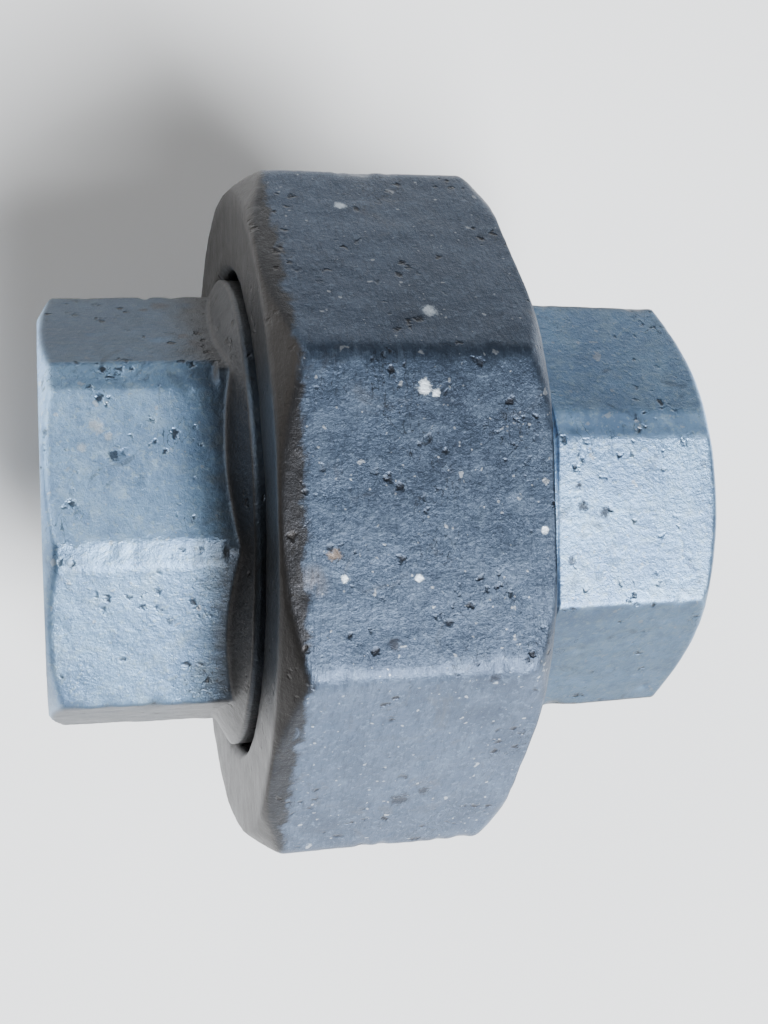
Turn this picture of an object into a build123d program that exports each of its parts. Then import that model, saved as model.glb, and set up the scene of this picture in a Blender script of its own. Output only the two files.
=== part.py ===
"""Forged steel pipe union, NPS 1/2, class 3000, with octagonal ends and an octagonal nut.

Three pieces: the threaded body, the tail piece held by its collar, and the union nut.
The pipe axis is X, the origin is on the axis at mid length, and Z is up.
The tail points to -X and the threaded body to +X.
"""
import math
import os

from build123d import *

os.makedirs("parts", exist_ok=True)

# Overall
TOTAL_LENGTH = 45.8
TAIL_END = -TOTAL_LENGTH / 2
BODY_END = TOTAL_LENGTH / 2

# Octagonal ends: across flats, draft of the forging, turn from the nut's flats
TAIL_FLATS = 29.0
BODY_FLATS = 29.6
DRAFT = 1.0
TAIL_TURN = -14.5
BODY_TURN = 2.5
TAIL_GRIP_LENGTH = 11.4
END_CHAMFER = 0.9
END_CHAMFER_ANGLE = 30

# Nut, from its lip face to its open face
NUT_WALL = 2.6
NUT_LENGTH = 17.2
NUT_CHAMFER = 1.6
NUT_CHAMFER_ANGLE = 40
NUT_EDGE_ROUND = 1.2
LIP_THICKNESS = 3.6
LIP_OVERLAP = 1.8
LIP_HOLE_CHAMFER = 0.5
NUT_RELIEF_LENGTH = 2.6
RELIEF_DEPTH = 0.2

# Union thread, each side turned to its pitch line
UNION_MAJOR_RADIUS = 20.8
UNION_DEPTH = 1.15
UNION_CLEARANCE = 0.1
THREAD_CHAMFER = 1.0
THREAD_BEYOND_NUT = 0.8

# Tail piece
NECK_CLEARANCE = 0.6
FLARE_LENGTH = 1.5
NECK_SHOWN = 0.5
COLLAR_LENGTH = 3.6
COLLAR_CLEARANCE = 0.15
COLLAR_CHAMFER = 0.4
NOSE_SPHERE_RADIUS = 20.0
NOSE_LENGTH = 2.8

# Threaded body
FACE_GAP = 0.25
SEAT_CLEARANCE = 0.03
SEAT_DEPTH = 3.4
SHOULDER_LENGTH = 2.2
SHOULDER_OVERLAP = 1.8

# Bores, with 1/2 NPT ends
FLOW_RADIUS = 7.9
PIPE_MINOR_RADIUS = 9.0
PIPE_THREAD_LENGTH = 13.6
PIPE_MOUTH_CHAMFER = 1.9
DRILL_LENGTH = 1.2


def circumradius(flats):
    return flats / 2 / math.cos(math.pi / 8)


def octagon(flats, start, end, turn=0.0, draft=0.0):
    """An octagonal bar along X; with no turn it has a flat square to +Z."""
    outline = RegularPolygon(flats / 2, 8, major_radius=False, rotation=22.5)
    plane = Plane(origin=(start, 0, 0), x_dir=(0, 1, 0), z_dir=(1 if end > start else -1, 0, 0))
    bar = extrude(plane * outline, abs(end - start), taper=-draft)
    return bar.rotate(Axis.X, turn)


def turned(points):
    """A solid of revolution about X from (x, radius) points."""
    profile = Polyline(*points, close=True)
    return revolve(make_face(profile), Axis.X)


def end_limits(end, inner_end, corner):
    """The turned envelope that chamfers a pipe end, wide enough for the draft."""
    inward = 1 if inner_end > end else -1
    slope = math.tan(math.radians(END_CHAMFER_ANGLE))
    face_radius = corner - END_CHAMFER / slope
    outer_radius = corner + DRAFT
    return turned(
        [
            (end, 0),
            (end, face_radius),
            (end + inward * (outer_radius - face_radius) * slope, outer_radius),
            (inner_end, outer_radius),
            (inner_end, 0),
        ]
    )


def pipe_bore(end, inner_end):
    """The flow bore with a pipe socket, tapped at its minor radius, opening at one end."""
    inward = 1 if inner_end > end else -1
    mouth_radius = PIPE_MINOR_RADIUS + PIPE_MOUTH_CHAMFER
    return turned(
        [
            (end, 0),
            (end, mouth_radius),
            (end + inward * PIPE_MOUTH_CHAMFER, PIPE_MINOR_RADIUS),
            (end + inward * PIPE_THREAD_LENGTH, PIPE_MINOR_RADIUS),
            (end + inward * (PIPE_THREAD_LENGTH + DRILL_LENGTH), FLOW_RADIUS),
            (inner_end, FLOW_RADIUS),
            (inner_end, 0),
        ]
    )


# Positions along the axis
flare_start = TAIL_END + TAIL_GRIP_LENGTH
flare_end = flare_start + FLARE_LENGTH
nut_start = flare_end + NECK_SHOWN
nut_end = nut_start + NUT_LENGTH
lip_back = nut_start + LIP_THICKNESS
collar_start = lip_back + COLLAR_CLEARANCE
collar_end = collar_start + COLLAR_LENGTH
nose_end = collar_end + NOSE_LENGTH
body_face = collar_end + FACE_GAP
thread_end = nut_end + THREAD_BEYOND_NUT
shoulder_end = thread_end + SHOULDER_LENGTH
nut_thread_start = lip_back + NUT_RELIEF_LENGTH

# Radii shared by mating pieces
body_thread_radius = UNION_MAJOR_RADIUS - UNION_DEPTH / 2
nut_thread_radius = body_thread_radius + UNION_CLEARANCE
relief_radius = UNION_MAJOR_RADIUS + RELIEF_DEPTH
collar_radius = UNION_MAJOR_RADIUS - UNION_DEPTH - COLLAR_CLEARANCE
lip_hole_radius = collar_radius - LIP_OVERLAP
neck_radius = lip_hole_radius - NECK_CLEARANCE
nut_flats = 2 * (UNION_MAJOR_RADIUS + NUT_WALL)

# Union nut
nut_corner = circumradius(nut_flats)
nut_face_radius = nut_corner - NUT_CHAMFER / math.tan(math.radians(NUT_CHAMFER_ANGLE))
nut_bar = octagon(nut_flats, nut_start, nut_end)
long_edges = [e for e in nut_bar.edges() if abs(e.tangent_at(0).X) > 0.999]
nut_bar = fillet(long_edges, NUT_EDGE_ROUND)
nut_limits = turned(
    [
        (nut_start, 0),
        (nut_start, nut_face_radius),
        (nut_start + NUT_CHAMFER, nut_corner),
        (nut_end - NUT_CHAMFER, nut_corner),
        (nut_end, nut_face_radius),
        (nut_end, 0),
    ]
)
nut_bore = turned(
    [
        (nut_start, 0),
        (nut_start, lip_hole_radius + LIP_HOLE_CHAMFER),
        (nut_start + LIP_HOLE_CHAMFER, lip_hole_radius),
        (lip_back, lip_hole_radius),
        (lip_back, relief_radius),
        (nut_thread_start, relief_radius),
        (nut_thread_start, nut_thread_radius),
        (nut_end - THREAD_CHAMFER, nut_thread_radius),
        (nut_end, nut_thread_radius + THREAD_CHAMFER),
        (nut_end, 0),
    ]
)
nut = (nut_bar & nut_limits) - nut_bore

# Threaded body
touch_drop = NOSE_SPHERE_RADIUS / math.sqrt(2)
nose_touch = collar_end + NOSE_LENGTH / 2
seat_radius = nose_touch - body_face + touch_drop + SEAT_CLEARANCE * math.sqrt(2)
shank = turned(
    [
        (body_face, 0),
        (body_face, body_thread_radius - THREAD_CHAMFER),
        (body_face + THREAD_CHAMFER, body_thread_radius),
        (thread_end, body_thread_radius),
        (shoulder_end, BODY_FLATS / 2),
        (shoulder_end, 0),
    ]
)
seat = turned(
    [
        (body_face, 0),
        (body_face, seat_radius),
        (body_face + SEAT_DEPTH, seat_radius - SEAT_DEPTH),
        (body_face + SEAT_DEPTH, 0),
    ]
)
body_bar_start = shoulder_end - SHOULDER_OVERLAP
body_bar = octagon(BODY_FLATS, BODY_END, body_bar_start, BODY_TURN, DRAFT)
body_end_limits = end_limits(BODY_END, body_bar_start, circumradius(BODY_FLATS))
body = (body_bar & body_end_limits) + shank - seat - pipe_bore(BODY_END, body_face)

# Tail piece
nose_centre = nose_touch - touch_drop
nose_base_radius = math.sqrt(NOSE_SPHERE_RADIUS**2 - (collar_end - nose_centre) ** 2)
nose_tip_radius = math.sqrt(NOSE_SPHERE_RADIUS**2 - (nose_end - nose_centre) ** 2)
tail_outline = Polyline(
    (nose_end, nose_tip_radius),
    (nose_end, 0),
    (flare_start, 0),
    (flare_start, TAIL_FLATS / 2),
    (flare_end, neck_radius),
    (collar_start, neck_radius),
    (collar_start, collar_radius - COLLAR_CHAMFER),
    (collar_start + COLLAR_CHAMFER, collar_radius),
    (collar_end - COLLAR_CHAMFER, collar_radius),
    (collar_end, collar_radius - COLLAR_CHAMFER),
    (collar_end, nose_base_radius),
)
nose_arc = ThreePointArc(
    (collar_end, nose_base_radius),
    (nose_touch, touch_drop),
    (nose_end, nose_tip_radius),
)
tail_turned = revolve(make_face([tail_outline, nose_arc]), Axis.X)
tail_bar = octagon(TAIL_FLATS, TAIL_END, flare_end, TAIL_TURN, DRAFT)
tail_end_limits = end_limits(TAIL_END, flare_end, circumradius(TAIL_FLATS))
tail = (tail_bar & tail_end_limits) + tail_turned - pipe_bore(TAIL_END, nose_end)

export_step(nut, "parts/union_nut.step")
export_step(body, "parts/threaded_body.step")
export_step(tail, "parts/tail_piece.step")
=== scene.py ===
import math

import bpy
import numpy as np
from mathutils import Matrix, Vector, noise


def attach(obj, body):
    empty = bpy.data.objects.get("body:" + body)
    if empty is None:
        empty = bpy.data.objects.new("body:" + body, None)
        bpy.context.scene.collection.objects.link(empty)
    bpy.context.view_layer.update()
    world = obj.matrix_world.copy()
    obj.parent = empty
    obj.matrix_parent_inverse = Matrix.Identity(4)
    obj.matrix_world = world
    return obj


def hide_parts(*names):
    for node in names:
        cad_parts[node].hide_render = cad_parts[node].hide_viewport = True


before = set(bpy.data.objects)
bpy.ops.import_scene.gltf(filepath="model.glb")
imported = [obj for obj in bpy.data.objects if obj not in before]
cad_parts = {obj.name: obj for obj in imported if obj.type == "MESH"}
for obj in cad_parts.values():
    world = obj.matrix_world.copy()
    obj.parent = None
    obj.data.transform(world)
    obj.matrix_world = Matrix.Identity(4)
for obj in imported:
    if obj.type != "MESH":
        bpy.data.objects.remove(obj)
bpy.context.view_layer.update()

MM = 0.001
TAU = 2 * math.pi

# Sizes of the part, in millimetres. Places run along X from its centre
TAIL_END = -22.9
BODY_END = 22.9
NUT_START = -9.5
NUT_END = 7.7
NECK_START = -11.5
NECK_END = -10.0
COLLAR_START = -5.75
COLLAR_END = -2.15
NOSE_START = -0.75
NOSE_END = 0.65
LIP_BACK = -5.9
BODY_FACE = -1.9
SEAT_BOTTOM = 1.5
THREAD_END = 8.5
SHOULDER_END = 10.7
PIPE_THREAD_LENGTH = 13.6
RELIEF_END = 14.8

NECK_RADIUS = 17.1
COLLAR_RADIUS = 19.5
COLLAR_EDGE = 0.4
LIP_BORE = 17.7
NUT_BORE = 20.9
FLOW_RADIUS = 7.9
MOUTH_RADIUS = 10.9

# Half the width across flats, and the turn of the top flat toward +Y in degrees
TAIL_APOTHEM, TAIL_TURN = 14.5, 14.5
BODY_APOTHEM, BODY_TURN = 14.8, -2.5
NUT_APOTHEM, NUT_TURN = 23.4, 0.0
CORNER_STEP = 45.0
DRAFT_SLOPE = 0.0175
END_CHAMFER_SLOPE = 1.732

# Threads. The union thread is shallower than a real one
UNION_PITCH = 2.2
UNION_DEPTH = 0.5
UNION_CREST = 0.5
UNION_MINOR = 19.65
NUT_THREAD_ROOT = 20.85
LEAD_IN = 0.4
PIPE_PITCH = 1.814
PIPE_DEPTH = 1.1
PIPE_CREST = 0.3
FLANK_SHARE = 0.6

# How finely the meshes are divided
AROUND = 360
STEP = 0.22
THREAD_STEP = 0.16
SOCKET_STEP = 0.14


# Shape helpers


def ramp(value, low, high):
    """0 below low, 1 above high, smooth in between."""
    share = np.clip((value - low) / (high - low), 0.0, 1.0)
    return share * share * (3 - 2 * share)


def soft_min(a, b, width):
    """The smaller of two radii, rounded where they cross."""
    gap = np.clip(0.5 + 0.5 * (b - a) / width, 0.0, 1.0)
    return b * (1 - gap) + a * gap - width * gap * (1 - gap)


def octagon_radius(angle, apothem, turn_deg, rounding):
    """Radius of an octagon with rounded corners; angle 0 points to +Z, growing toward +Y."""
    corner = math.pi / 8
    local = np.abs((angle - math.radians(turn_deg) + corner) % (2 * corner) - corner)
    flat = apothem / np.cos(local)
    centre = (apothem - rounding) / math.cos(corner)
    off = corner - local
    inside = np.maximum(rounding**2 - (centre * np.sin(off)) ** 2, 0.0)
    arc = centre * np.cos(off) + np.sqrt(inside)
    limit = math.atan2((apothem - rounding) * math.tan(corner), apothem)
    return np.where(local < limit, flat, arc)


def flatted(outer, angle, middle_deg, apothem):
    """A narrow flat along one corner of an octagon."""
    reach = 0.25
    off = angle - math.radians(middle_deg)
    off = (off + math.pi) % TAU - math.pi
    flat = apothem / np.cos(np.clip(off, -0.3, 0.3))
    return np.where(np.abs(off) < reach, np.minimum(outer, flat), outer)


def thread_wave(x, angle, pitch, depth, crest):
    """Height of a right hand thread above its root."""
    phase = (x / pitch + angle / TAU) % 1.0
    away = np.abs(phase - 0.5) * pitch
    flank = depth * FLANK_SHARE
    return depth * np.clip((crest / 2 + flank - away) / flank, 0.0, 1.0)


def profile(points):
    """Rows along a meridian. Each point holds x, radius, the kind of surface and the step after it."""
    rows = []
    for (x, radius, kind, step), (next_x, next_radius, _, _) in zip(points, points[1:]):
        legs = max(1, round(math.dist((x, radius), (next_x, next_radius)) / step))
        for k in range(legs):
            share = k / legs
            rows.append((x + share * (next_x - x), radius + share * (next_radius - radius), kind))
    rows.append(points[-1][:3])
    return rows


def ring_mesh(name, rows, shape, flip=False):
    """A closed mesh whose rings follow the rows; shape gives the radii of each ring."""
    angle = np.arange(AROUND) * TAU / AROUND
    count = len(rows)
    points = np.zeros((count, AROUND, 3))
    for i, (x, radius, kind) in enumerate(rows):
        radii = shape(x, radius, kind, angle)
        points[i, :, 0] = x
        points[i, :, 1] = radii * np.sin(angle)
        points[i, :, 2] = radii * np.cos(angle)
    index = np.arange(count * AROUND).reshape(count, AROUND)
    faces = []
    for i in range(count):
        a = index[i]
        b = index[(i + 1) % count]
        faces.append(np.stack([a, b, np.roll(b, -1), np.roll(a, -1)], axis=1))
    faces = np.concatenate(faces)
    if flip:
        faces = faces[:, ::-1]
    mesh = bpy.data.meshes.new(name)
    mesh.from_pydata((points.reshape(-1, 3) * MM).tolist(), [], faces.tolist())
    mesh.update()
    thing = bpy.data.objects.new(name, mesh)
    bpy.context.scene.collection.objects.link(thing)
    for face in mesh.polygons:
        face.use_smooth = True
    return thing


# The three pieces: the radius of each kind of surface


def pipe_socket(end, inward):
    """Points of a tapered threaded socket, from its inner end out to its mouth."""
    return [
        (end + inward * RELIEF_END, FLOW_RADIUS, "plain", 0.5),
        (end + inward * PIPE_THREAD_LENGTH, 8.8, "pipe", SOCKET_STEP),
        (end, 9.2, "plain", 0.4),
    ]


def pipe_radius(x, radius, angle, end):
    """The threaded wall of a pipe socket, opened by a 45 degree chamfer at its mouth."""
    height = thread_wave(x, angle, PIPE_PITCH, PIPE_DEPTH, PIPE_CREST)
    chamfer = MOUTH_RADIUS - abs(x - end)
    return np.maximum(radius + PIPE_DEPTH - height, chamfer)


def tail_shape(x, radius, kind, angle):
    """Radii of the tail piece."""
    apothem = TAIL_APOTHEM + (x - TAIL_END) * DRAFT_SLOPE
    if kind == "octagon":
        outer = octagon_radius(angle, apothem, TAIL_TURN, 0.5)
        outer = flatted(outer, angle, 35.2, apothem + 0.72)
        outer = flatted(outer, angle, -9.8, apothem + 0.84)
        chamfer = 14.15 + (x - TAIL_END) * END_CHAMFER_SLOPE
        return soft_min(outer, chamfer, 0.35)
    if kind == "flare":
        outer = octagon_radius(angle, apothem, TAIL_TURN, 0.7)
        cone = 14.3 + (x - NECK_START) * (NECK_RADIUS - 14.3) / (NECK_END - NECK_START)
        return np.minimum(-soft_min(-outer, -cone, 0.4), NECK_RADIUS)
    if kind == "pipe":
        return pipe_radius(x, radius, angle, TAIL_END)
    return radius


def body_shape(x, radius, kind, angle):
    """Radii of the threaded body."""
    if kind == "octagon":
        apothem = BODY_APOTHEM + (BODY_END - x) * DRAFT_SLOPE
        outer = octagon_radius(angle, apothem, BODY_TURN, 0.5)
        outer = flatted(outer, angle, 24.5, apothem + 0.78)
        chamfer = 14.55 + (BODY_END - x) * END_CHAMFER_SLOPE
        return soft_min(outer, chamfer, 0.4)
    if kind == "union":
        height = thread_wave(x, angle, UNION_PITCH, UNION_DEPTH, UNION_CREST)
        lead = ramp(x, BODY_FACE, BODY_FACE + 1.0)
        return UNION_MINOR - LEAD_IN + (height + LEAD_IN) * lead
    if kind == "pipe":
        return pipe_radius(x, radius, angle, BODY_END)
    return radius


def nut_shape(x, radius, kind, angle):
    """Radii of the union nut, whose chamfers scallop its flats."""
    if kind == "octagon":
        outer = octagon_radius(angle, NUT_APOTHEM, NUT_TURN, 1.3)
        outer = soft_min(outer, 23.35 + (x - NUT_START) * 1.19, 0.5)
        return soft_min(outer, 23.75 + (NUT_END - x) * 1.1, 0.5)
    if kind == "union":
        return NUT_THREAD_ROOT - thread_wave(x, angle, UNION_PITCH, UNION_DEPTH, UNION_CREST)
    return radius


tail_rows = profile(
    [
        (TAIL_END, MOUTH_RADIUS, "plain", 0.8),
        (TAIL_END, 14.0, "octagon", STEP),
        (NECK_START, 14.3, "flare", STEP),
        (NECK_END, NECK_RADIUS, "plain", 0.4),
        (COLLAR_START, NECK_RADIUS, "plain", 0.5),
        (COLLAR_START, 19.2, "plain", 0.3),
        (COLLAR_START + COLLAR_EDGE, COLLAR_RADIUS, "plain", 0.6),
        (COLLAR_END - COLLAR_EDGE, COLLAR_RADIUS, "plain", 0.3),
        (COLLAR_END, 19.2, "plain", 0.8),
        (COLLAR_END, 15.4, "plain", 0.5),
        (NOSE_START, 14.1, "plain", 0.5),
        (NOSE_END, 12.6, "plain", 0.8),
        (NOSE_END, FLOW_RADIUS, "plain", 1.2),
        *pipe_socket(TAIL_END, 1),
    ]
)[:-1]
body_rows = profile(
    [
        (BODY_END, MOUTH_RADIUS, "plain", 0.8),
        (BODY_END, 14.4, "octagon", STEP),
        (SHOULDER_END, 14.8, "plain", 0.4),
        (THREAD_END, 19.5, "union", THREAD_STEP),
        (BODY_FACE, 19.2, "plain", 0.8),
        (BODY_FACE, 15.3, "plain", 0.5),
        (SEAT_BOTTOM, 11.95, "plain", 0.8),
        (SEAT_BOTTOM, FLOW_RADIUS, "plain", 1.2),
        *pipe_socket(BODY_END, -1),
    ]
)[:-1]
nut_rows = profile(
    [
        (NUT_START, 18.2, "plain", 0.8),
        (NUT_START, 23.0, "octagon", STEP),
        (NUT_END, 21.2, "plain", 0.8),
        (NUT_END - 0.8, 20.6, "union", THREAD_STEP),
        (-3.3, NUT_BORE, "plain", 0.5),
        (LIP_BACK, NUT_BORE, "plain", 0.8),
        (LIP_BACK, LIP_BORE, "plain", 0.5),
        (NUT_START + 0.5, LIP_BORE, "plain", 0.2),
    ]
)

tail = ring_mesh("tail_forging", tail_rows, tail_shape)
body = ring_mesh("body_forging", body_rows, body_shape, flip=True)
nut = ring_mesh("nut_forging", nut_rows, nut_shape)


# Forging unevenness, dents and knocks


def roughen(thing, seed, amount, dents):
    """Moves the outside along its normals; each dent holds its place, size and depth."""
    offset = Vector((seed * 3.7, seed * 1.3, seed * 2.9))
    machined_inside = 13.4
    mesh = thing.data
    count = len(mesh.vertices)
    points = np.empty(count * 3)
    normals = np.empty(count * 3)
    mesh.vertices.foreach_get("co", points)
    mesh.vertex_normals.foreach_get("vector", normals)
    points = points.reshape(-1, 3) / MM
    normals = normals.reshape(-1, 3)
    radius = np.hypot(points[:, 1], points[:, 2])
    move = np.zeros(count)
    for i in range(count):
        if radius[i] < machined_inside:
            continue
        at = Vector(points[i])
        broad = noise.noise(at * 0.16 + offset)
        middle = noise.noise(at * 0.55 + offset)
        fine = noise.noise(at * 1.7 + offset)
        pit = max(0.0, noise.noise(at * 0.9 - offset) - 0.42)
        move[i] = amount * (0.5 * broad + 0.35 * middle + 0.2 * fine - 0.25) - 1.3 * amount * pit
    wobble = 0.75 + 0.25 * np.sin(points[:, 0] * 3.1 + points[:, 1] * 2.3)
    for place, size, depth in dents:
        away = np.sqrt(((points - np.array(place)) ** 2).sum(axis=1)) / size
        move -= depth * wobble * np.exp(-(away**2) * 2.2)
    points = (points + normals * move[:, None]) * MM
    mesh.vertices.foreach_set("co", points.reshape(-1))
    mesh.update()


def flat_dents(apothem, turn_deg, marks):
    """Dents on one flat: each mark holds its x, place across the flat, size and depth."""
    turn = math.radians(turn_deg)
    dents = []
    for x, across, size, depth in marks:
        y = apothem * math.sin(turn) + across * math.cos(turn)
        z = apothem * math.cos(turn) - across * math.sin(turn)
        dents.append(((x, y, z), size, depth))
    return dents


def edge_knocks(apothem, turn_deg, low, high, seed, per_edge):
    """Small knocks along the corners of an octagon."""
    draw = np.random.default_rng(seed)
    knocks = []
    for corner in range(8):
        turn = math.radians(turn_deg + CORNER_STEP / 2 + CORNER_STEP * corner)
        reach = apothem / math.cos(math.pi / 8) - 0.1
        for _ in range(per_edge):
            x = draw.uniform(low, high)
            place = (x, reach * math.sin(turn), reach * math.cos(turn))
            knocks.append((place, draw.uniform(0.35, 0.8), draw.uniform(0.06, 0.2)))
    return knocks


TAIL_TOP_MARKS = [
    (-18.4, 1.6, 0.55, 0.16),
    (-17.6, 0.5, 0.6, 0.14),
    (-19.3, 2.6, 0.5, 0.12),
    (-16.6, -1.2, 0.45, 0.15),
    (-17.2, 3.2, 0.4, 0.12),
    (-21.0, -5.0, 0.5, 0.1),
    (-13.5, 4.8, 0.6, 0.1),
]
TAIL_SIDE_MARKS = [(-15.0, -2.0, 0.7, 0.12), (-12.6, 4.0, 0.8, 0.12)]
BODY_TOP_MARKS = [
    (15.0, 4.6, 0.5, 0.14),
    (16.8, 5.0, 0.35, 0.12),
    (18.9, 4.7, 0.4, 0.1),
    (15.4, -1.6, 0.6, 0.12),
    (16.4, 0.2, 0.45, 0.12),
    (14.0, -3.8, 0.4, 0.1),
]
BODY_SIDE_MARKS = [(20.6, -4.4, 0.5, 0.1)]
NUT_TOP_MARKS = [
    (-2.0, 5.6, 0.4, 0.12),
    (-0.2, -6.0, 0.6, 0.1),
    (-7.9, 9.3, 0.5, 0.16),
    (-8.1, 3.0, 0.45, 0.12),
    (-8.0, -4.4, 0.5, 0.13),
    (3.6, -9.4, 0.7, 0.16),
    (5.0, -9.5, 0.5, 0.14),
    (1.8, -9.5, 0.4, 0.12),
    (6.6, 9.3, 0.6, 0.14),
]
NUT_SIDE_MARKS = [(-1.5, -2.0, 0.5, 0.14), (0.4, 0.5, 0.6, 0.12)]

# The dents lie on the middle of a flat, which draft lifts a little above its end
TAIL_MIDDLE = TAIL_APOTHEM + 0.1
BODY_MIDDLE = BODY_APOTHEM + 0.1
tail_dents = flat_dents(TAIL_MIDDLE, TAIL_TURN, TAIL_TOP_MARKS)
tail_dents += flat_dents(TAIL_MIDDLE, TAIL_TURN + CORNER_STEP, TAIL_SIDE_MARKS)
tail_dents += edge_knocks(TAIL_MIDDLE, TAIL_TURN, -22.5, -12.0, seed=5, per_edge=5)
body_dents = flat_dents(BODY_MIDDLE, BODY_TURN, BODY_TOP_MARKS)
body_dents += flat_dents(BODY_MIDDLE, BODY_TURN - CORNER_STEP, BODY_SIDE_MARKS)
body_dents += edge_knocks(BODY_MIDDLE, BODY_TURN, 12.0, 22.5, seed=6, per_edge=5)
nut_dents = flat_dents(NUT_APOTHEM, NUT_TURN, NUT_TOP_MARKS)
nut_dents += flat_dents(NUT_APOTHEM, NUT_TURN - CORNER_STEP, NUT_SIDE_MARKS)
nut_dents += edge_knocks(NUT_APOTHEM, NUT_TURN, -8.5, 6.8, seed=8, per_edge=9)
roughen(tail, 3.0, 0.075, tail_dents)
roughen(body, 7.0, 0.075, body_dents)
roughen(nut, 11.0, 0.10, nut_dents)


# Materials

BLOTCH = (0.13, 0.15, 0.19, 1)
SCRATCH = (0.04, 0.045, 0.055, 1)
STAIN = (0.20, 0.17, 0.15, 1)
PIT = (0.035, 0.035, 0.04, 1)
CHIP = (0.85, 0.90, 0.97, 1)
# painted shade in a band along X
BAND_SHADE = (0.028, 0.026, 0.025, 1)
# painted shade for faces turned toward the tail's end
SIDE_SHADE = (0.035, 0.032, 0.030, 1)
SOOT = (0.03, 0.03, 0.035, 1)
BRIGHT = (0.80, 0.90, 1.0, 1)
RUST = (0.20, 0.15, 0.11, 1)


class Shading:
    """The node tree of one material, with short ways to add nodes in metres of object space."""

    def __init__(self, name):
        self.material = bpy.data.materials.new(name)
        self.material.use_nodes = True
        self.nodes = self.material.node_tree.nodes
        self.links = self.material.node_tree.links
        self.nodes.clear()
        out = self.nodes.new("ShaderNodeOutputMaterial")
        self.shader = self.nodes.new("ShaderNodeBsdfPrincipled")
        self.links.new(self.shader.outputs["BSDF"], out.inputs["Surface"])
        self.coord = self.nodes.new("ShaderNodeTexCoord")

    def feed(self, socket, value):
        """Links a socket to another node's output, or sets it to a plain value."""
        if isinstance(value, (float, int, tuple)):
            socket.default_value = value
        else:
            self.links.new(value, socket)

    def mapped(self, scale=(1, 1, 1)):
        mapping = self.nodes.new("ShaderNodeMapping")
        mapping.inputs["Scale"].default_value = scale
        self.links.new(self.coord.outputs["Object"], mapping.inputs["Vector"])
        return mapping.outputs["Vector"]

    def cloud(self, scale, detail, rough=0.6, stretch=(1, 1, 1), distortion=0.0):
        texture = self.nodes.new("ShaderNodeTexNoise")
        texture.inputs["Scale"].default_value = scale
        texture.inputs["Detail"].default_value = detail
        texture.inputs["Roughness"].default_value = rough
        texture.inputs["Distortion"].default_value = distortion
        self.links.new(self.mapped(stretch), texture.inputs["Vector"])
        return texture.outputs["Fac"]

    def mask(self, source, low, high, reverse=False):
        """0 below low and 1 above high, or the other way round."""
        step = self.nodes.new("ShaderNodeMapRange")
        step.interpolation_type = "SMOOTHSTEP"
        step.inputs["From Min"].default_value = low
        step.inputs["From Max"].default_value = high
        if reverse:
            step.inputs["To Min"].default_value = 1.0
            step.inputs["To Max"].default_value = 0.0
        self.links.new(source, step.inputs["Value"])
        return step.outputs["Result"]

    def mix(self, factor, first, second, kind="MIX"):
        node = self.nodes.new("ShaderNodeMix")
        node.data_type = "RGBA"
        node.blend_type = kind
        self.feed(node.inputs[0], factor)
        self.feed(node.inputs[6], first)
        self.feed(node.inputs[7], second)
        return node.outputs[2]

    def math(self, kind, first, second):
        node = self.nodes.new("ShaderNodeMath")
        node.operation = kind
        self.feed(node.inputs[0], first)
        self.feed(node.inputs[1], second)
        return node.outputs[0]

    def times(self, first, second):
        return self.math("MULTIPLY", first, second)

    def plus(self, first, second):
        return self.math("ADD", first, second)

    def vector(self, kind):
        node = self.nodes.new("ShaderNodeVectorMath")
        node.operation = kind
        return node

    def parts_of(self, output):
        """The X, Y and Z of one of the object's own coordinates."""
        split = self.nodes.new("ShaderNodeSeparateXYZ")
        self.links.new(self.coord.outputs[output], split.inputs[0])
        return split.outputs


def ragged_pits(tree):
    """Where the plating is pitted: cells about 1 mm apart, with edges bent by noise."""
    swirl = tree.nodes.new("ShaderNodeTexNoise")
    swirl.inputs["Scale"].default_value = 1800
    tree.links.new(tree.mapped(), swirl.inputs["Vector"])
    shrunk = tree.vector("SCALE")
    shrunk.inputs["Scale"].default_value = 0.0009
    tree.links.new(swirl.outputs["Color"], shrunk.inputs[0])
    warped = tree.vector("ADD")
    tree.links.new(tree.mapped(), warped.inputs[0])
    tree.links.new(shrunk.outputs[0], warped.inputs[1])
    pits = tree.nodes.new("ShaderNodeTexVoronoi")
    pits.inputs["Scale"].default_value = 1000
    tree.links.new(warped.outputs[0], pits.inputs["Vector"])
    cells = tree.mask(pits.outputs["Distance"], 0.12, 0.36, True)
    return tree.times(cells, tree.mask(tree.cloud(300, 3), 0.52, 0.60))


def fine_scratches(tree):
    """Where the plating is scratched: warped lines that come and go."""
    lines = tree.nodes.new("ShaderNodeTexWave")
    lines.inputs["Scale"].default_value = 260
    lines.inputs["Distortion"].default_value = 26
    lines.inputs["Detail"].default_value = 4
    lines.inputs["Detail Scale"].default_value = 3
    tree.links.new(tree.mapped((1, 0.45, 1)), lines.inputs["Vector"])
    hairlines = tree.mask(lines.outputs["Fac"], 0.0, 0.05, True)
    return tree.times(hairlines, tree.mask(tree.cloud(150, 3), 0.54, 0.62))


def painted_facing_shade(tree, sideways_normal, facing_shade):
    """Painted shade: a grey for each way a facet faces, from -Y to +Y, multiplied into the colour so
    facets turned from the lamp come out darker.
    """
    shade_ramp = tree.nodes.new("ShaderNodeValToRGB")
    while len(shade_ramp.color_ramp.elements) < len(facing_shade):
        shade_ramp.color_ramp.elements.new(0.5)
    for element, (side, shade) in zip(shade_ramp.color_ramp.elements, facing_shade):
        element.position = side * 0.5 + 0.5
        element.color = (shade, shade, shade, 1)
    tree.links.new(tree.plus(tree.times(sideways_normal, 0.5), 0.5), shade_ramp.inputs["Fac"])
    return shade_ramp.outputs["Color"]


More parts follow.
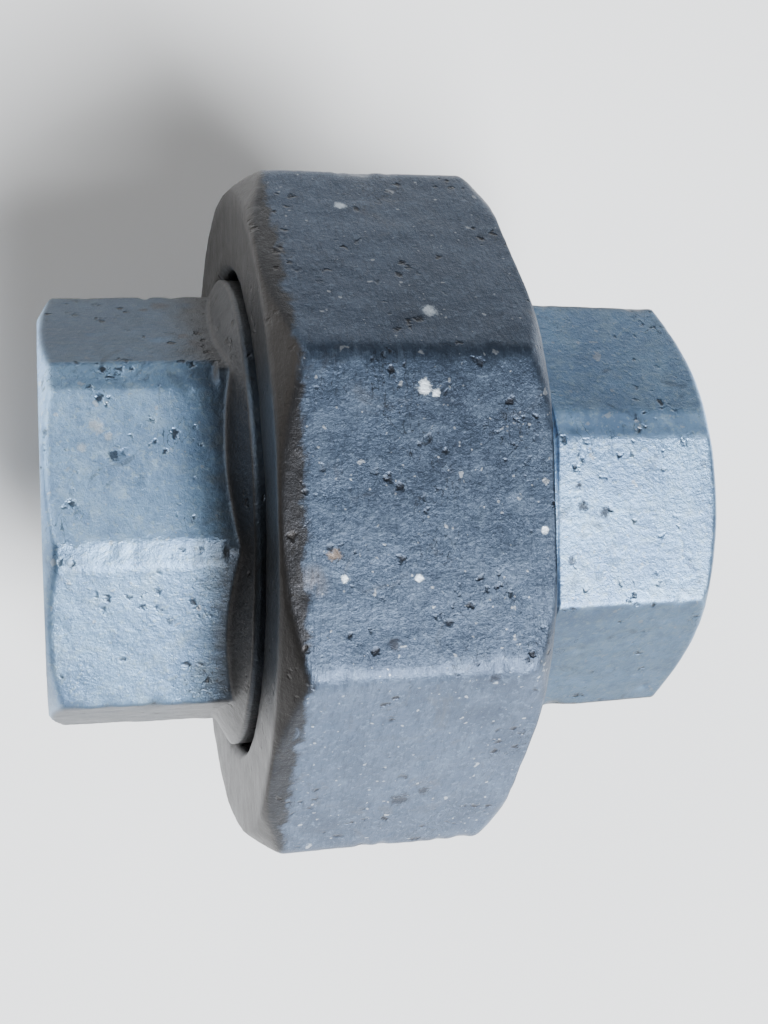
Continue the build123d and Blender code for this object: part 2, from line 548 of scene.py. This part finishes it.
def painted_shade_band(tree, x, patch, shade_band):
    """Painted shade that deepens from an open end to a shaded end, in millimetres along X, up to a far
    end.
    """
    patch_reach = 0.003
    patch_shift = patch_reach / 2
    along = tree.plus(x, tree.times(patch, patch_reach))
    open_end, shaded_end, far_end = (value * MM + patch_shift for value in shade_band)
    low, high = min(open_end, shaded_end), max(open_end, shaded_end)
    shaded = tree.mask(along, low, high, open_end > shaded_end)
    return tree.times(shaded, tree.mask(along, far_end, far_end + 0.002, True))


def spot_mask(tree, place, size, speckle):
    """One ragged spot, with its place and size in millimetres."""
    away = tree.vector("DISTANCE")
    tree.links.new(tree.coord.outputs["Object"], away.inputs[0])
    away.inputs[1].default_value = tuple(value * MM for value in place)
    ragged = tree.plus(away.outputs["Value"], tree.times(speckle, size * MM * 2.2))
    return tree.mask(ragged, size * MM * 1.5, size * MM * 2.1, True)


def zinc(name, base, dark, light, grain, roughness, facing_shade, shade_band, spots):
    """A zinc plated forging: mottled, pitted, with bright chips, brown stains and spots, and with
    painted shade by the way facets face, on faces toward the tail's end and in a band along X.
    """
    tree = Shading(name)
    broad = tree.cloud(90, 4, 0.6)
    patch = tree.cloud(520, 7, 0.7, distortion=0.5)
    speckle = tree.cloud(2400, 4, 0.75)
    fibre = tree.cloud(1500, 5, 0.75, stretch=grain)
    chips = tree.cloud(1100, 2, 0.5)
    sparks = tree.cloud(2600, 1, 0.4)
    pit = ragged_pits(tree)

    colour = tree.mix(tree.mask(broad, 0.28, 0.62), dark, base)
    colour = tree.mix(tree.times(tree.mask(patch, 0.46, 0.66), 0.4), colour, light)
    colour = tree.mix(tree.times(tree.mask(fibre, 0.48, 0.62), 0.6), colour, dark)
    colour = tree.mix(tree.times(tree.mask(speckle, 0.54, 0.64), 0.6), colour, light)
    blotches = tree.mask(tree.cloud(200, 6, 0.7, distortion=1.5), 0.58, 0.68)
    colour = tree.mix(tree.times(blotches, 0.5), colour, BLOTCH)
    colour = tree.mix(tree.times(fine_scratches(tree), 0.7), colour, SCRATCH)
    stains = tree.times(tree.mask(tree.cloud(120, 3), 0.62, 0.74), tree.mask(patch, 0.40, 0.60))
    colour = tree.mix(tree.times(stains, 0.45), colour, STAIN)
    colour = tree.mix(tree.times(pit, 0.85), colour, PIT)
    colour = tree.mix(tree.times(tree.mask(chips, 0.70, 0.74), 0.45), colour, CHIP)
    colour = tree.mix(tree.times(tree.mask(sparks, 0.73, 0.78), 0.45), colour, CHIP)

    facing = tree.parts_of("Normal")
    place = tree.parts_of("Object")
    # Painted shade: the colour darkens by the way each facet faces along Y
    colour = tree.mix(1.0, colour, painted_facing_shade(tree, facing["Y"], facing_shade), "MULTIPLY")
    # Painted shade in a band along X: on the ends, the nut's shadow deepening toward the nut; on the
    # nut, a darker band along its tail-side edge
    shaded = painted_shade_band(tree, place["X"], patch, shade_band)
    colour = tree.mix(tree.times(shaded, 0.90), colour, BAND_SHADE)
    # Painted shade on what faces the tail's end, turned away from the lamp, fading out toward that end
    facing_tail = tree.mask(tree.plus(facing["X"], tree.times(patch, 0.25)), -0.55, -0.1, True)
    side_shade = tree.times(facing_tail, tree.mask(place["X"], -0.020, -0.015))
    colour = tree.mix(tree.times(side_shade, 0.85), colour, SIDE_SHADE)
    for spot_place, size, strength, paint in spots:
        spot = spot_mask(tree, spot_place, size, speckle)
        colour = tree.mix(tree.times(spot, strength), colour, paint)

    height = tree.plus(tree.times(patch, 0.35), tree.times(speckle, 0.7))
    height = tree.plus(height, tree.times(fibre, 0.6))
    height = tree.math("SUBTRACT", height, tree.times(pit, 0.9))
    bump = tree.nodes.new("ShaderNodeBump")
    bump.inputs["Strength"].default_value = 0.7
    bump.inputs["Distance"].default_value = 0.00010
    tree.links.new(height, bump.inputs["Height"])

    tree.shader.inputs["Metallic"].default_value = 0.9
    tree.links.new(colour, tree.shader.inputs["Base Color"])
    shine = tree.plus(tree.times(patch, 0.25), roughness - 0.12)
    tree.links.new(shine, tree.shader.inputs["Roughness"])
    tree.links.new(bump.outputs["Normal"], tree.shader.inputs["Normal"])
    return tree.material


# The normal's Y and the grey there: painted shade that darkens facets turned from the lamp
END_PAINTED_SHADE = [
    (-0.97, 0.04),
    (-0.74, 0.21),
    (-0.56, 0.48),
    (-0.17, 0.32),
    (-0.04, 0.54),
    (0.25, 1.0),
    (0.41, 1.0),
    (0.70, 0.28),
    (0.86, 0.10),
]
NUT_PAINTED_SHADE = [(-0.90, 0.70), (-0.70, 1.0), (-0.30, 0.60), (0.0, 0.52), (0.30, 0.50), (0.70, 0.42)]
# Each spot's place and size in millimetres, its strength and its paint
END_SPOTS = [
    ((12.7, 0.0, 15.0), 0.45, 0.9, SOOT),
    ((12.4, 1.4, 14.9), 0.35, 0.9, SOOT),
    ((14.3, -0.5, 15.0), 0.5, 0.85, SOOT),
    ((11.9, -3.7, 14.9), 0.45, 0.8, SOOT),
    ((16.8, 5.2, 14.3), 0.3, 0.8, SOOT),
    ((19.0, 5.4, 14.0), 0.35, 0.8, SOOT),
    ((-14.4, 14.8, 3.6), 0.8, 0.85, SOOT),
    ((-15.6, 14.6, 4.4), 0.5, 0.85, SOOT),
    ((-12.3, 11.4, 9.3), 0.9, 0.85, SOOT),
    ((-13.2, 12.2, 8.2), 0.5, 0.85, SOOT),
    ((-18.4, 4.0, 14.0), 0.5, 0.8, SOOT),
    ((-19.4, 5.9, 13.5), 0.6, 0.7, BRIGHT),
    ((-18.6, 5.2, 13.7), 0.35, 0.7, BRIGHT),
    ((-20.3, 4.6, 13.9), 0.4, 0.6, BRIGHT),
    ((-15.0, -6.7, 13.2), 0.4, 0.75, SOOT),
    ((-15.6, -6.0, 13.6), 0.3, 0.75, SOOT),
]
NUT_SPOTS = [
    ((-0.6, 7.4, 23.4), 0.55, 0.9, BRIGHT),
    ((0.1, 7.1, 23.4), 0.3, 0.9, BRIGHT),
    ((6.7, -1.2, 23.4), 0.3, 0.9, BRIGHT),
    ((-6.3, -2.3, 23.4), 0.5, 0.7, RUST),
    ((-5.7, -3.7, 23.4), 0.3, 0.8, BRIGHT),
    ((-1.2, -3.8, 23.4), 0.3, 0.8, BRIGHT),
    ((-2.8, -7.7, 23.4), 0.5, 0.7, SOOT),
    ((3.6, -10.4, 23.2), 0.8, 0.7, SOOT),
    ((-0.3, -19.2, 13.8), 0.9, 0.7, SOOT),
    ((1.2, -18.6, 14.4), 0.6, 0.7, SOOT),
    ((-3.1, 20.3, 12.7), 0.5, 0.4, BRIGHT),
    ((0.6, 12.3, 20.7), 0.6, 0.4, BRIGHT),
]
end_zinc = zinc(
    "zinc_ends",
    base=(0.40, 0.66, 1.0, 1),
    dark=(0.27, 0.44, 0.72, 1),
    light=(0.60, 0.82, 1.0, 1),
    grain=(1, 1, 1),
    roughness=0.40,
    facing_shade=END_PAINTED_SHADE,
    shade_band=(-15.5, -11.2, -6.0),
    spots=END_SPOTS,
)
nut_zinc = zinc(
    "zinc_nut",
    base=(0.115, 0.16, 0.24, 1),
    dark=(0.075, 0.10, 0.15, 1),
    light=(0.20, 0.27, 0.38, 1),
    grain=(3.0, 0.4, 1),
    roughness=0.42,
    facing_shade=NUT_PAINTED_SHADE,
    shade_band=(-7.6, -8.3, 30.0),
    spots=NUT_SPOTS,
)

for thing, material, node, rider, finish in (
    (tail, end_zinc, "tail_piece", "tail", "galvanised_ends"),
    (body, end_zinc, "threaded_body", "threaded_body", "galvanised_ends"),
    (nut, nut_zinc, "union_nut", "nut", "galvanised_nut"),
):
    thing.data.materials.append(material)
    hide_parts(node)
    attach(thing, rider)


# Floor and lights

FLOOR_REACH = 1.5
FLOOR_GAP = 0.02
FLOOR_CORNERS = [
    (-FLOOR_REACH, -FLOOR_REACH, 0),
    (FLOOR_REACH, -FLOOR_REACH, 0),
    (FLOOR_REACH, FLOOR_REACH, 0),
    (-FLOOR_REACH, FLOOR_REACH, 0),
]
floor_mesh = bpy.data.meshes.new("floor")
floor_mesh.from_pydata(FLOOR_CORNERS, [], [(0, 1, 2, 3)])
floor = bpy.data.objects.new("floor", floor_mesh)
floor.location = (0, 0, -(NUT_APOTHEM + FLOOR_GAP) * MM)
bpy.context.scene.collection.objects.link(floor)
pale = bpy.data.materials.new("pale_floor")
pale.use_nodes = True
pale_shader = pale.node_tree.nodes["Principled BSDF"]
pale_shader.inputs["Base Color"].default_value = (0.9, 0.9, 0.9, 1)
pale_shader.inputs["Roughness"].default_value = 0.9
floor_mesh.materials.append(pale)

world = bpy.data.worlds.new("studio")
world.use_nodes = True
background = world.node_tree.nodes["Background"]
background.inputs["Color"].default_value = (0.95, 0.97, 1.0, 1)
background.inputs["Strength"].default_value = 0.13
bpy.context.scene.world = world


def softbox(name, place, size, power, colour):
    """A square soft light aimed at the part's centre."""
    data = bpy.data.lights.new(name, "AREA")
    data.shape = "SQUARE"
    data.size = size
    data.energy = power
    data.color = colour
    light = bpy.data.objects.new(name, data)
    light.location = place
    light.rotation_euler = (-Vector(place)).to_track_quat("-Z", "Y").to_euler()
    bpy.context.scene.collection.objects.link(light)


softbox("key", (0.24, -0.44, 0.62), 0.42, 22.0, (0.95, 0.975, 1.0))
softbox("fill", (-0.45, 0.40, 0.35), 0.5, 2.5, (1.0, 0.99, 0.97))


# The view, fitted to the reference. Its place counts in corner radii of the tail octagon, from
# the middle of the tail's end, in a viewing frame that looks level at the pipe

CORNER_RADIUS = 15.7
PLACE_ACROSS, PLACE_AWAY, PLACE_UP = 0.065, -6.2923, 0.1023
YAW, PITCH, ROLL = math.radians(13.86), math.radians(-1.09), math.radians(-1.43)
LENS = 46.5046875
SENSOR = 36


def to_world(across, away, up):
    """From the viewing frame to the part's frame, where the camera looks down on the pipe."""
    return Vector((across, up, -away))


forward = to_world(math.sin(YAW) * math.cos(PITCH), math.cos(YAW) * math.cos(PITCH), math.sin(PITCH))
level = to_world(math.cos(YAW), -math.sin(YAW), 0)
upward = level.cross(forward)
right = math.cos(ROLL) * level + math.sin(ROLL) * upward
top = -math.sin(ROLL) * level + math.cos(ROLL) * upward
camera_data = bpy.data.cameras.new("camera")
camera_data.sensor_width = SENSOR
camera_data.lens = LENS
camera_data.clip_start = 0.005
camera_data.dof.use_dof = False
camera = bpy.data.objects.new("camera", camera_data)
across = PLACE_ACROSS * CORNER_RADIUS + TAIL_END
place = to_world(across, PLACE_AWAY * CORNER_RADIUS, PLACE_UP * CORNER_RADIUS) * MM
camera.matrix_world = Matrix.Translation(place) @ Matrix((right, top, -forward)).transposed().to_4x4()
bpy.context.scene.collection.objects.link(camera)
bpy.context.scene.camera = camera
